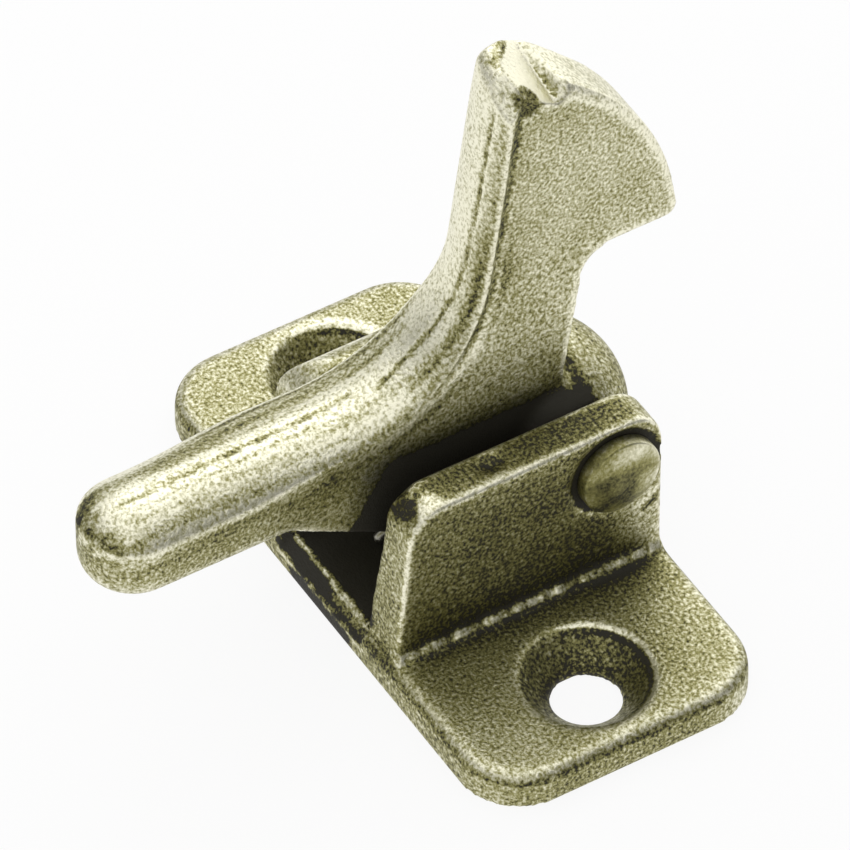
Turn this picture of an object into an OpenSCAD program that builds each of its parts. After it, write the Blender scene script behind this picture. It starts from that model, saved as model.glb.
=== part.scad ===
// Elbow catch: a sprung lever with a hook, on a two-hole bracket, for a cupboard door or shutter.
// Millimetres, +Z up. The origin is the centre of the mounting face. X runs along the pivot,
// the finger tail reaches out towards -Y and the hook catches its strike on the +Y side.

/* [Bracket plate] */
// Length of the plate, along the pivot
plate_length = 36; // [30:0.5:46]
// Width of the plate, front to back
plate_width = 17.4; // [14.5:0.1:21]
// Thickness of the plate
plate_thickness = 2.2; // [1.8:0.1:3]
// Radius of the plate's corners, seen from above
plate_corner = 3.7; // [2:0.1:5]
// Rounding of the plate's upper edge
plate_edge = 0.8; // [0.3:0.1:1.2]

/* [Screw holes] */
// Distance between the two screw holes
screw_spacing = 26; // [25:0.5:34]
// Diameter of the clearance hole, for a No. 6 wood screw
screw_hole = 3.9; // [3.2:0.1:4.6]
// Diameter of the countersink at the top face
screw_countersink = 7.4; // [6:0.1:7.8]

/* [Ears] */
// Clear width between the two ears
ear_gap = 8.7; // [7.6:0.1:10.6]
// Thickness of each ear
ear_thickness = 2.6; // [2:0.1:3.2]
// Height of the ears above the pivot
ear_rise = 3.2; // [3:0.1:4.4]
// Step from the plate's front edge back to the ear's foot
ear_front_step = 0.5; // [0.3:0.1:1.5]
// Step from the plate's back edge forward to the ear
ear_back_step = 0.2; // [0.1:0.1:1]
// How far the front edge of the ear leans back at the top
ear_lean = 0.9; // [0:0.1:3]
// Radius of the ear's upper front corner
ear_front_corner = 2.2; // [0.5:0.1:3]
// Radius of the ear's upper back corner
ear_back_corner = 2.2; // [0.5:0.1:3]
// Fillet at the foot of the ears
ear_fillet = 0.5; // [0.2:0.1:0.8]

/* [Pivot rivet] */
// Height of the pivot above the plate
pivot_height = 7.2; // [6.8:0.1:8.7]
// Distance from the plate's back edge forward to the pivot
pivot_setback = 3.1; // [2.8:0.1:3.8]
// Diameter of the rivet's shank
pin_diameter = 3; // [2.5:0.1:3.6]
// Diameter of the rivet's head
head_diameter = 5; // [4.6:0.1:5.6]
// Height of the head's straight rim
head_rim = 0.7; // [0.4:0.1:1]
// Height of the crown on the head
head_crown = 0.6; // [0.4:0.1:1]
// Diameter of the end that is peened over on the other ear
peened_diameter = 4.4; // [4.2:0.1:5.2]
// Height of the peened end
peened_height = 0.9; // [0.5:0.1:1.2]
// Width of the sunk ring round each end of the rivet
recess_ring = 0.4; // [0.3:0.1:0.7]
// Depth of the sunk ring
recess_depth = 0.3; // [0.2:0.1:0.6]

/* [Lever tail and elbow] */
// Reach of the tail, from the pivot to its tip
tail_reach = 28.6; // [24:0.1:35]
// Width of the tail
tail_width = 6; // [5.6:0.1:6.8]
// Depth of the tail, top to bottom
tail_depth = 5.2; // [4.6:0.1:5.8]
// Rounding of the tail's lower edges
tail_edge = 1.6; // [0.4:0.1:1.8]
// Radius of the crown across the top of the tail
crown_radius = 4; // [3.8:0.1:6]
// Height of the tail's crest above the pivot
crest_height = 5.9; // [5.6:0.1:6.6]
// Distance from the pivot forward to where the elbow starts to curve
elbow_start = 14.1; // [13:0.1:15]
// Radius of the elbow along its crest
elbow_radius = 8.6; // [8:0.1:9.4]
// Thickness of the lever between the ears
body_thickness = 5.4; // [5:0.1:5.6]
// Depth of the lever's underside below the pivot
belly_depth = 3.7; // [3.4:0.1:4]
// Distance from the pivot forward to where the underside starts to rise
belly_front = 9.1; // [8.4:0.1:9.6]
// Distance from the pivot forward to where the underside meets the tail
belly_rise = 16.9; // [16:0.1:18]

/* [Lever head and hook] */
// Height of the head's top above the pivot
head_rise = 26.4; // [22:0.1:31.8]
// Backward lean of the head, in degrees
head_lean = 8; // [4:0.5:12]
// Width of the rounded bead up the front of the head
bead_width = 4.6; // [4.2:0.1:5.4]
// Depth of the bead
bead_depth = 1.4; // [1.4:0.1:2]
// Thickness of the flat web behind the bead
web_thickness = 3.6; // [2.4:0.1:4.2]
// Height above the pivot where the lever starts to narrow
waist_low = 4; // [2:0.5:6]
// Height above the pivot where the lever is down to the bead and the web
waist_high = 13; // [10:0.5:18]
// Reach of the hook's beak, from the pivot backwards
hook_reach = 6.8; // [5.6:0.1:8.2]
// Height of the beak's underside above the pivot
hook_rise = 11.5; // [10:0.1:12.6]
// Height of the beak's tip above its underside
beak_height = 1.3; // [1:0.1:2]
// Radius of the fan's outer edge
fan_radius = 16.5; // [14:0.5:30]
// Distance from the pivot back to the neck, under the beak
neck_setback = 0.7; // [0.4:0.1:1.6]
// Distance that the neck leans forward at its foot
neck_lean = 1.7; // [0:0.1:2]
// Fillet between the beak and the neck
neck_fillet = 2; // [1:0.1:2.4]
// Rounding of the head's top corner
top_corner = 1.6; // [1.5:0.1:2]
// Rounding of the beak's tip
beak_corner = 0.7; // [0.4:0.1:0.8]

/* [Lever hub] */
// Radius of the hub at its middle
hub_radius = 4; // [3.6:0.05:4.5]
// Radius of the hub at its two ends
hub_end_radius = 2.4; // [2.2:0.05:2.9]
// Thickness of the stop heel that rests on the plate
heel_thickness = 1.8; // [1.2:0.1:2.2]
// Distance from the pivot to the back of the stop heel
heel_setback = 3.2; // [2.6:0.1:3.5]
// Step from each end of the hub in to the side of the stop heel
heel_step = 0.3; // [0.2:0.1:1]

/* [Spring] */
// Diameter of the spring wire
wire_diameter = 0.7; // [0.5:0.05:0.8]
// Distance from turn to turn of the coil
coil_pitch = 1.15; // [1.1:0.05:1.25]
// Whole turns of the coil, besides the part turn between its legs
coil_turns = 1; // [1:1:2]
// Length of the leg that bears on the lever
lever_leg = 8; // [6:0.5:9]
// Fall of the leg that bears on the plate, in degrees below level
plate_leg_fall = 23; // [20:1:26]

/* [Clearances] */
// Radial clearance of the rivet in the ears
ear_clearance = 0.03; // [0.01:0.01:0.1]
// Radial clearance of the lever on the rivet
pivot_clearance = 0.05; // [0.01:0.01:0.1]
// Clearance between each end of the hub and its ear
side_clearance = 0.25; // [0.15:0.05:0.5]
// Clearance between the stop heel and the plate at rest
stop_clearance = 0.2; // [0.1:0.05:0.4]
// Clearance between the coil and the rivet
coil_clearance = 0.3; // [0.2:0.05:0.4]
// Clearance between the spring and what it bears on or lies beside
spring_clearance = 0.12; // [0.08:0.02:0.3]
// Clearance between the coil and the sides of its pocket
pocket_clearance = 0.25; // [0.2:0.05:0.4]
// Room in the pocket beyond the end of the lever's leg of the spring
leg_room = 2; // [1:0.5:3]

/* [Hidden] */
$fn = 64;
over = 1;
weld = 0.15;
half_turn = 180;
quarter_turn = 90;
arc_steps = 12;
fan_steps = 24;
ring_step = 45;
wire_sides = 6;

casting_colour = "#8d8a6a";
rivet_colour = "#a08a4e";
wire_colour = "#6f6f6c";

ear_outer = ear_gap / 2 + ear_thickness;
pivot_y = plate_width / 2 - pivot_setback;
pivot_z = plate_thickness + pivot_height;
ear_top = pivot_z + ear_rise;
pin_radius = pin_diameter / 2;

elbow_centre = [-elbow_start, crest_height + elbow_radius];
lean_along = [sin(head_lean), cos(head_lean)];
lean_across = [cos(head_lean), -sin(head_lean)];
head_foot = elbow_centre + elbow_radius * lean_across;
head_length = (head_rise - head_foot[1]) / lean_along[1];
head_tip = head_foot + head_length * lean_along;
beak_tip = [hook_reach, hook_rise + beak_height];
fan_chord = head_tip - beak_tip;
fan_half = norm(fan_chord) / 2;
fan_inward = [-fan_chord[1], fan_chord[0]] / (2 * fan_half);
fan_centre = (head_tip + beak_tip) / 2 + sqrt(fan_radius ^ 2 - fan_half ^ 2) * fan_inward;

top_start = head_foot + top_corner * lean_across - fan_centre;
top_run = -top_start * lean_along
    + sqrt((top_start * lean_along) ^ 2 - top_start * top_start + (fan_radius - top_corner) ^ 2);
top_centre = fan_centre + top_start + top_run * lean_along;
beak_drop = hook_rise + beak_corner - fan_centre[1];
beak_centre = fan_centre + [sqrt((fan_radius - beak_corner) ^ 2 - beak_drop ^ 2), beak_drop];

hub_width = ear_gap - 2 * side_clearance;
heel_width = hub_width - 2 * heel_step;
hub_bulge = hub_radius - hub_end_radius;
hub_barrel = ((hub_width / 2) ^ 2 + hub_bulge ^ 2) / (2 * hub_bulge);
tail_floor = crest_height - tail_depth;
body_inset = crown_radius - sqrt(crown_radius ^ 2 - (body_thickness / 2) ^ 2) + weld;

wire_radius = wire_diameter / 2;
coil_radius = pin_radius + coil_clearance + wire_radius;
coil_start = plate_leg_fall - quarter_turn;
coil_sweep = 2 * half_turn * coil_turns + quarter_turn - coil_start;
coil_half = coil_pitch * coil_sweep / (4 * half_turn);
pocket_half = coil_half + wire_radius + pocket_clearance;
pocket_radius = coil_radius + wire_radius + pocket_clearance;
pocket_roof = coil_radius + wire_radius + spring_clearance;
pocket_front = lever_leg + leg_room;
plate_leg_drop = pivot_height - wire_radius - spring_clearance - coil_radius * cos(plate_leg_fall);
plate_leg = plate_leg_drop / sin(plate_leg_fall);

// Points on an arc in a plane, from one angle to another
function arc(centre, radius, from, to, steps) =
    [for (i = [0:steps]) let (angle = from + (to - from) * i / steps)
        centre + radius * [cos(angle), sin(angle)]];

function angle_of(v) = atan2(v[1], v[0]);

// A plane shape in Y and Z, made solid along X and centred on it
module side_solid(width) {
    rotate([90, 0, 90]) translate([0, 0, -width / 2]) linear_extrude(width) children();
}

// Cross-section of a plate with a rounded upper edge
module plate_section(width) {
    translate([-width / 2 + plate_edge, 0]) square([width - 2 * plate_edge, plate_thickness]);
    translate([-width / 2, 0]) square([width, plate_thickness - plate_edge]);
    for (side = [-1, 1])
        translate([side * (width / 2 - plate_edge), plate_thickness - plate_edge]) circle(plate_edge);
}

module plate() {
    rotate([90, 0, 0]) linear_extrude(plate_width - 2 * plate_corner, center = true)
        plate_section(plate_length);
    rotate([90, 0, 90]) linear_extrude(plate_length - 2 * plate_corner, center = true)
        plate_section(plate_width);
    for (x = [-1, 1], y = [-1, 1])
        translate([x * (plate_length / 2 - plate_corner), y * (plate_width / 2 - plate_corner), 0])
            rotate_extrude() intersection() {
                plate_section(2 * plate_corner);
                square([plate_corner, plate_thickness]);
            }
}

module screw_cuts() {
    sink_depth = (screw_countersink - screw_hole) / 2;
    for (side = [-1, 1]) translate([side * screw_spacing / 2, 0, 0]) {
        translate([0, 0, -over]) cylinder(d = screw_hole, h = plate_thickness + 2 * over);
        translate([0, 0, plate_thickness - sink_depth])
            cylinder(d1 = screw_hole, d2 = screw_countersink, h = sink_depth);
        translate([0, 0, plate_thickness]) cylinder(d = screw_countersink, h = over);
    }
}

module ear_outline() {
    foot = -plate_width / 2 + ear_front_step;
    back = plate_width / 2 - ear_back_step;
    front = foot + ear_lean;
    polygon(concat(
        [[foot, plate_thickness / 2], [back, plate_thickness / 2]],
        arc([back - ear_back_corner, ear_top - ear_back_corner], ear_back_corner,
            0, quarter_turn, arc_steps),
        arc([front + ear_front_corner, ear_top - ear_front_corner], ear_front_corner,
            quarter_turn, half_turn, arc_steps)));
}

module ear() {
    foot = -plate_width / 2 + ear_front_step;
    back = plate_width / 2 - ear_back_step;
    translate([(ear_gap + ear_thickness) / 2, 0, 0]) side_solid(ear_thickness) ear_outline();
    translate([ear_outer, back, plate_thickness]) rotate([90, 0, 0]) linear_extrude(back - foot)
        difference() {
            translate([-ear_fillet, -ear_fillet]) square(2 * ear_fillet);
            translate([ear_fillet, ear_fillet]) circle(ear_fillet);
        }
}

module base_bracket() {
    color(casting_colour) difference() {
        union() {
            plate();
            for (side = [0, 1]) mirror([side, 0, 0]) ear();
        }
        screw_cuts();
        at_pivot() rotate([0, 90, 0])
            cylinder(r = pin_radius + ear_clearance, h = plate_length, center = true);
        at_pivot() translate([ear_outer - recess_depth, 0, 0]) rotate([0, 90, 0])
            cylinder(r = head_diameter / 2 + recess_ring, h = over);
        at_pivot() translate([-ear_outer + recess_depth, 0, 0]) rotate([0, -90, 0])
            cylinder(r = peened_diameter / 2 + recess_ring, h = over);
    }
}

module at_pivot() {
    translate([0, pivot_y, pivot_z]) children();
}

// Cross-section of the lever's bar: depth below the crest along X, width along Y
module bar_section(depth) {
    intersection() {
        translate([crown_radius, 0]) circle(crown_radius);
        translate([0, -tail_width / 2]) square([depth, tail_width]);
    }
}

// The tail's cross-section has rounded lower edges too
module tail_section() {
    corner = tail_width / 2 - tail_edge;
    bar_section(tail_depth - tail_edge);
    translate([tail_depth - tail_edge - over, -corner]) square([tail_edge + over, 2 * corner]);
    for (side = [-1, 1]) translate([tail_depth - tail_edge, side * corner]) circle(tail_edge);
}

module tail() {
    nose = tail_reach - tail_width / 2;
    translate([0, -elbow_start, crest_height]) rotate([90, 0, 0]) linear_extrude(nose - elbow_start)
        rotate([0, 0, -90]) tail_section();
    translate([0, -nose, crest_height]) rotate_extrude() intersection() {
        rotate([0, 0, -90]) tail_section();
        translate([0, -tail_depth]) square([tail_width, tail_depth]);
    }
}

// The rounded bead that goes on from the tail, through the elbow and up the head
module bead() {
    rotate([90, 0, 90]) translate(elbow_centre) {
        rotate([0, 0, -90]) rotate_extrude(angle = quarter_turn - head_lean)
            translate([elbow_radius, 0]) bar_section(bead_depth);
        rotate([0, 0, -head_lean]) rotate([-90, 0, 0]) translate([0, 0, -weld])
            linear_extrude(head_length + over) translate([elbow_radius, 0]) bar_section(bead_depth);
    }
}

// Outline of the head and body, seen from the side
module lever_outline() {
    polygon(concat(
        arc(beak_centre, beak_corner, -quarter_turn, angle_of(beak_centre - fan_centre), arc_steps),
        arc(fan_centre, fan_radius, angle_of(beak_centre - fan_centre),
            angle_of(top_centre - fan_centre), fan_steps),
        arc(top_centre, top_corner, angle_of(top_centre - fan_centre),
            half_turn - head_lean, arc_steps),
        arc(elbow_centre, elbow_radius - weld, -head_lean, -quarter_turn, fan_steps),
        [[-belly_rise - tail_edge, crest_height + weld],
         [-belly_rise - tail_edge, tail_floor + tail_edge],
         [-belly_rise, tail_floor], [-belly_front, -belly_depth],
         [0, -belly_depth], [0, 0], [neck_setback - neck_lean, hub_end_radius]],
        arc([neck_setback + neck_fillet, hook_rise - neck_fillet], neck_fillet,
            half_turn, quarter_turn, arc_steps)));
}

// All that lies behind and below the crest, set in so that the bead's crown stands clear
module behind_crest() {
    side_solid(tail_width) polygon(concat(
        [[tail_reach, head_rise + over], head_tip + body_inset * lean_across + over * lean_along],
        arc(elbow_centre, elbow_radius + body_inset, -head_lean, -quarter_turn, fan_steps),
        [[-tail_reach, crest_height - body_inset], [-tail_reach, -tail_reach],
         [tail_reach, -tail_reach]]));
}

// Front view of the lever, which narrows from the body up to the head
module waist(low_width, high_width) {
    rise = head_rise + over;
    rotate([90, 0, 0]) linear_extrude(2 * (tail_reach + over), center = true) polygon([
        [-low_width / 2, -belly_depth - over], [low_width / 2, -belly_depth - over],
        [low_width / 2, waist_low], [high_width / 2, waist_high], [high_width / 2, rise],
        [-high_width / 2, rise], [-high_width / 2, waist_high], [-low_width / 2, waist_low]]);
}

module hub() {
    rotate([90, 0, 90]) rotate_extrude() intersection() {
        translate([hub_radius - hub_barrel, 0]) circle(hub_barrel);
        translate([0, -hub_width / 2]) square([hub_radius, hub_width]);
    }
}

module heel() {
    fall = pivot_height - stop_clearance;
    translate([-heel_width / 2, heel_setback - heel_thickness, -fall])
        cube([heel_width, heel_thickness, fall]);
}

// Hollow in the lever's underside, for the spring
module spring_pocket() {
    side_solid(2 * pocket_half) {
        circle(pocket_radius);
        translate([-pocket_front, -pivot_height])
            square([pocket_front + heel_setback - heel_thickness, pivot_height]);
        translate([-pocket_front, -over]) square([pocket_front, pocket_roof + over]);
    }
}

module lever() {
    color(casting_colour) at_pivot() difference() {
        union() {
            tail();
            intersection() {
                side_solid(2 * tail_width) lever_outline();
                union() {
                    intersection() {
                        bead();
                        waist(tail_width, bead_width);
                    }
                    intersection() {
                        behind_crest();
                        waist(body_thickness, web_thickness);
                    }
                }
            }
            hub();
            heel();
        }
        spring_pocket();
        rotate([0, 90, 0]) cylinder(r = pin_radius + pivot_clearance, h = plate_length, center = true);
    }
}

// A dome of a given width and height, standing on X = 0 and rising along +X
module dome(diameter, height) {
    ball = (diameter ^ 2 / 4 + height ^ 2) / (2 * height);
    rotate([0, 90, 0]) rotate_extrude() intersection() {
        translate([0, height - ball]) circle(ball);
        square([diameter / 2, height]);
    }
}

module pivot_rivet() {
    seat = ear_outer - recess_depth;
    color(rivet_colour) at_pivot() {
        rotate([0, 90, 0]) cylinder(r = pin_radius, h = 2 * seat, center = true);
        translate([seat, 0, 0]) rotate([0, 90, 0]) cylinder(d = head_diameter, h = head_rim);
        translate([seat + head_rim, 0, 0]) dome(head_diameter, head_crown);
        mirror([1, 0, 0]) translate([seat, 0, 0]) dome(peened_diameter, peened_height);
    }
}

// Centre of the wire at one place on the coil, by its angle from the coil's start
function coil_point(turned) =
    [coil_half * (2 * turned / coil_sweep - 1),
     coil_radius * cos(coil_start + turned), coil_radius * sin(coil_start + turned)];

// The wire's path: in along the plate, round the rivet and out along the lever
function wire_path() =
    let (first = coil_point(0), last = coil_point(coil_sweep))
    let (inward = [0, cos(plate_leg_fall), sin(plate_leg_fall)])
    concat(
        [for (part = [1, 0.5]) first - part * plate_leg * inward],
        [for (turned = [0:ring_step:coil_sweep]) coil_point(turned)],
        [last],
        [for (part = [0.5, 1]) last - part * [0, lever_leg, 0]]);

function unit(v) = v / norm(v);

// A ring of points round one place on the path, square to the wire, with one axis kept near X
function wire_ring(path, i) =
    let (ahead = path[min(i + 1, len(path) - 1)], behind = path[max(i - 1, 0)])
    let (along = unit(ahead - behind))
    let (side = unit([1, 0, 0] - along[0] * along))
    let (up = cross(along, side))
    [for (k = [0:wire_sides - 1]) let (angle = 2 * half_turn * k / wire_sides)
        path[i] + wire_radius * (cos(angle) * side + sin(angle) * up)];

// Least distance between points of the wire that are at least half a curl apart along it
function least_gap(rings) =
    let (apart = half_turn / ring_step)
    min([for (i = [0:len(rings) - 1 - apart], j = [i + apart:len(rings) - 1])
        for (here = rings[i], there = rings[j]) norm(there - here)]);

module wire_tube(rings) {
    n = wire_sides;
    last = n * (len(rings) - 1);
    polyhedron(
        [for (ring = rings) each ring],
        concat(
            [for (k = [1:n - 2]) [0, k + 1, k]],
            [for (i = [0:len(rings) - 2], k = [0:n - 1]) let (a = n * i + k, b = n * i + (k + 1) % n)
                each [[a, b, a + n], [b, b + n, a + n]]],
            [for (k = [1:n - 2]) [last, last + k, last + k + 1]]));
}

module return_spring() {
    path = wire_path();
    rings = [for (i = [0:len(path) - 1]) wire_ring(path, i)];
    echo(spring_least_gap = least_gap(rings));
    color(wire_colour) at_pivot() wire_tube(rings);
}

base_bracket();
lever();
pivot_rivet();
return_spring();
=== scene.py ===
# %% [markdown]
# # An elbow catch in antique brass
# This lesson dresses an elbow catch: a sprung hook on a screw-down bracket, of the kind that holds
# one leaf of a cupboard or a shutter shut until a thumb tips its tail. The exact shape comes from a
# CAD model, which is loaded as a fixed frame and never changed. Blender adds what CAD leaves out:
# the soft edges of a casting, its grit, its rubbed finish and the light. Lengths are written in
# millimetres here, and become metres when a mesh is stored.

# %% Load the frame
import math

import bpy
import numpy as np
from mathutils import Matrix, Vector, noise
from mathutils.bvhtree import BVHTree


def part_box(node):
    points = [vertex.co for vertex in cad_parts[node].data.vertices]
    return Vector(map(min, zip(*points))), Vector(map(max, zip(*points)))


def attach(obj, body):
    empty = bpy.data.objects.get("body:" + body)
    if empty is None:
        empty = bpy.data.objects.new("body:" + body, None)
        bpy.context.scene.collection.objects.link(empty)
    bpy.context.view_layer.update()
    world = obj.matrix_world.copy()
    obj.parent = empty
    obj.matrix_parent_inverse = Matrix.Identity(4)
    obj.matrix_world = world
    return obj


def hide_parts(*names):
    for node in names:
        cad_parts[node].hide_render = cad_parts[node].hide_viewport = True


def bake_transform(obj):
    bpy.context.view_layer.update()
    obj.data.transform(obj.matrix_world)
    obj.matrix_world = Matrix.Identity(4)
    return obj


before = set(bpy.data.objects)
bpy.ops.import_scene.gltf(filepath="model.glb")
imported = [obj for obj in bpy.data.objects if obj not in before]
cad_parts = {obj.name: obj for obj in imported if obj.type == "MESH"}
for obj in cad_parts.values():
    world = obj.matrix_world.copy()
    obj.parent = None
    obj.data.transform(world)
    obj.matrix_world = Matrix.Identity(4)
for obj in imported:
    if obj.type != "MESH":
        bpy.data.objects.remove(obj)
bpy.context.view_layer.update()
MM = 0.001
scene = bpy.context.scene

# %% [markdown]
# ## The camera
# The picture to match was taken with a long lens, from the right, the front and well above. A long
# lens keeps parallel edges nearly parallel, so the camera stands 600 mm away from a part of 36 mm.
# Its place is given by an azimuth, an elevation and the point it looks at, because those three can
# be fitted to a picture one at a time.

# %% Place the camera
AZIMUTH, ELEVATION, ROLL = math.radians(58.739), math.radians(46.508), math.radians(-0.1)
LOOK_AT, DISTANCE = Vector((-1.692, -1.061, 8.850)), 600
toward = Vector((math.sin(AZIMUTH) * math.cos(ELEVATION),
                 -math.cos(AZIMUTH) * math.cos(ELEVATION), math.sin(ELEVATION)))
right = Vector((math.cos(AZIMUTH), math.sin(AZIMUTH), 0))
camera = bpy.data.objects.new("camera", bpy.data.cameras.new("camera"))
camera.matrix_world = (Matrix.Translation((LOOK_AT + DISTANCE * toward) * MM)
                       @ Matrix((right, toward.cross(right), toward)).transposed().to_4x4()
                       @ Matrix.Rotation(ROLL, 4, "Z"))
camera.data.sensor_width, camera.data.lens = 36, 476.77
camera.data.clip_start, camera.data.clip_end = 0.01, 10
scene.collection.objects.link(camera)
scene.camera = camera
print("camera at", [round(v / MM) for v in camera.location], "mm")


# %% [markdown]
# ## Soft castings
# The bracket and the lever are cast in zinc. The melt doesn't fill a sharp corner, and tumbling
# with stones rubs off what is left, so every edge is rounded. A Bevel modifier needs clean edge
# loops, which a mesh from CAD doesn't have. So each casting is copied and rebuilt from small
# voxels, which gives it even faces that can be smoothed and pushed about like clay.

# %% Copy a CAD node as an even mesh
def points_of(mesh, field="co"):
    flat = np.empty(3 * len(mesh.vertices))
    mesh.vertices.foreach_get(field, flat)
    return flat.reshape(-1, 3)


def rough_casting(node, name, voxel):
    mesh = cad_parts[node].data.copy()
    mesh.transform(Matrix.Scale(1 / MM, 4))
    casting = bpy.data.objects.new(name, mesh)
    scene.collection.objects.link(casting)
    remesh = casting.modifiers.new("voxels", "REMESH")
    remesh.mode, remesh.voxel_size = "VOXEL", voxel
    evaluated = casting.evaluated_get(bpy.context.evaluated_depsgraph_get())
    casting.data = bpy.data.meshes.new_from_object(evaluated)
    casting.modifiers.clear()
    print(name, len(casting.data.polygons), "faces")
    return casting


bracket = rough_casting("base_bracket", "bracket_casting", 0.16)
lever = rough_casting("lever", "lever_casting", 0.15)


# %% [markdown]
# Tumbling is a smoothing that moves each point halfway to the middle of its neighbours, again and
# again. It is written out here, rather than left to the Smooth modifier, so that each point can
# have its own share of it: the ground underside of the plate stays sharper than its top.

# %% Tumble
def edges_of(mesh):
    flat = np.empty(2 * len(mesh.edges), dtype=np.int32)
    mesh.edges.foreach_get("vertices", flat)
    return flat.reshape(-1, 2)


def tumble(points, edges, passes, share=1.0):
    a, b = edges.T
    count = len(points)
    links = np.bincount(edges.ravel(), minlength=count)[:, None]
    share = 0.5 * np.broadcast_to(share, count)[:, None]
    for _ in range(passes):
        total = np.stack([np.bincount(a, points[b, k], count) + np.bincount(b, points[a, k], count)
                          for k in range(3)], axis=1)
        points = points + share * (total / links - points)
    return points


print("edges to tumble along:", len(bracket.data.edges), "and", len(lever.data.edges))


# %% [markdown]
# A few more helpers. A ramp goes smoothly from 0 to 1 between two values, and marks out where a
# tool works. A band is a ramp on both sides of a line, and a spot is one all round a point. Waves
# are a gentle noise of a given size, which keeps a line or an edge from looking drawn, and ragged
# turns them into a share between a fifth and all.

# %% Ramp, band, spot and waves
def ramp(value, low, high):
    t = np.clip((value - low) / (high - low), 0, 1)
    return t * t * (3 - 2 * t)


def band(value, middle, outer, inner):
    return ramp(np.abs(value - middle), outer, inner)


def spot(points, centre, outer, inner, spread=1):
    return ramp(np.linalg.norm((points - centre) / spread, axis=1), outer, inner)


def waves(points, size):
    return np.array([noise.noise(Vector(p) / size) for p in points])


def ragged(points, size):
    return np.clip(0.7 + 1.2 * waves(points, size), 0.2, 1)


def settle(casting, points):
    mesh = casting.data
    mesh.vertices.foreach_set("co", (points * MM).ravel())
    mesh.update()
    mesh.shade_smooth()
    print(casting.name, "from", points.min(0).round(2), "to", points.max(0).round(2))


print("a ramp in quarters:", ramp(np.linspace(0, 1, 5), 0, 1).round(2))

# %% [markdown]
# ## The bracket
# The bracket is a plate with two countersunk holes and two ears, cast in one. The mould closes
# along the foot of each ear, and leaves a thin ragged fin there. The ears thicken inside towards
# the plate, so that they left the mould easily. Such things are pushed into the points after
# tumbling, so they stay crisp. They could be sculpted by hand, but numbers can be read and changed.

# %% Tumble the bracket and raise the fins
PLATE_TOP, EAR_TOP = 2.2, 12.6
EAR_INNER, EAR_OUTER, EAR_FOOT = 4.35, 6.95, 7.15
FIN, DRAFT = 0.2, 0.45
edges = edges_of(bracket.data)
shape = points_of(bracket.data)
shape = tumble(shape, edges, 10, 0.2 + 0.8 * ramp(shape[:, 2], 0.2, 1))

side = np.sign(shape[:, 0])
foot = np.hypot(np.abs(shape[:, 0]) - EAR_FOOT, shape[:, 2] - PLATE_TOP - 0.2)
fin = FIN * ramp(foot, 0.5, 0.05) * ragged(shape * (0.2, 1, 0.2), 0.6)
shape += fin[:, None] * np.stack([0.7 * side, 0 * side, 0.7 + 0 * side], axis=1)

draft = ramp(shape[:, 2], 10, 3) * ramp(shape[:, 1], -3, -5) * (shape[:, 2] > PLATE_TOP)
draft *= band(np.abs(shape[:, 0]), EAR_INNER, 0.9, 0.3)
shape[:, 0] -= DRAFT * side * draft
print("fins up to", fin.max().round(2), "mm high")


# %% [markdown]
# The right ear has a dent in its top and a nick in its front corner, where another casting fell on
# it in the tumbler. A nick is a small plane: every point that stands above it is dropped onto it,
# which makes a crisp flat that no modifier would give.

# %% Knock the right ear
DENT, DENT_SIZE, DENT_DEPTH = (5.5, -1.4, 12.6), (0.9, 1.3, 0.8), 0.3
NICK, NICK_OUT = np.array((4.9, -6.6, 12.1)), np.array((-0.6, -0.45, 0.66))


def flatten(shape, point, out, share, deepest=np.inf):
    """Drop the points that stand above a plane onto it, and return the deepest cut."""
    cut = share * np.clip((shape - point) @ out, 0, deepest)
    shape -= cut[:, None] * out
    return cut.max().round(2)


shape[:, 2] -= DENT_DEPTH * spot(shape, DENT, 1, 0, DENT_SIZE)
near_nick = spot(shape, NICK, 2.2, 1.2) * (shape[:, 0] > 4)
print("nick", flatten(shape, NICK, NICK_OUT, near_nick), "mm deep")


# %% [markdown]
# The left ear was ground after casting, and is rounder on its outer shoulder and its front corner
# than the right one. Grinding an edge to a radius pulls in every point that lies outside the round.

# %% Grind the left ear
EAR_FRONT, SHOULDER, CORNER = -7.4, 2.0, 3.4


def grind(shape, axis, end, radius, share):
    """Round the edge where the ear's top meets the end that it has on the low side of an axis."""
    beyond = np.stack([end + radius - shape[:, axis], shape[:, 2] + radius - EAR_TOP])
    beyond = np.maximum(beyond, 0)
    reach = np.hypot(*beyond) + 1e-9
    ground = share * np.maximum(reach - radius, 0) * (beyond.min(0) > 0)
    shape[:, [axis, 2]] += (ground * beyond / reach).T * (1, -1)
    print("ground to a radius of", radius, "mm, with up to", ground.max().round(2), "mm off")


grind(shape, 0, -EAR_OUTER, SHOULDER, ramp(shape[:, 1], 5, 2))
grind(shape, 1, EAR_FRONT, CORNER, shape[:, 0] < -4)

# %% [markdown]
# Under the lever's tail the front edge of the plate is bevelled. That is one more plane to drop
# points onto, and the last thing that is done to the bracket's shape.

# %% Bevel the front of the plate
BEVEL_EDGE, BEVEL_OUT = np.array((0, -7.95, PLATE_TOP)), np.array((0, -0.8, 0.6))
BEVEL_DEEPEST = 0.9
under_tail = ramp(np.abs(shape[:, 0]), 4.3, 4.0) * (shape[:, 2] < PLATE_TOP + 0.2)
print("bevel", flatten(shape, BEVEL_EDGE, BEVEL_OUT, under_tail, BEVEL_DEEPEST), "mm deep")
settle(bracket, shape)


# %% [markdown]
# ## The lever
# The lever is one casting too. A round bead runs along the top of the tail, turns through the elbow
# and goes up the front of the head; behind it is a thinner web with the hook. What the tools need
# to know is how far a point lies behind that bead, so this is measured first, from the same elbow
# centre and lean that the CAD model has.

# %% Measure the depth behind the lever's crest
ELBOW_Y, ELBOW_Z, ELBOW_RADIUS, LEAN = -8.5, 23.9, 8.6, math.radians(8)


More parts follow.
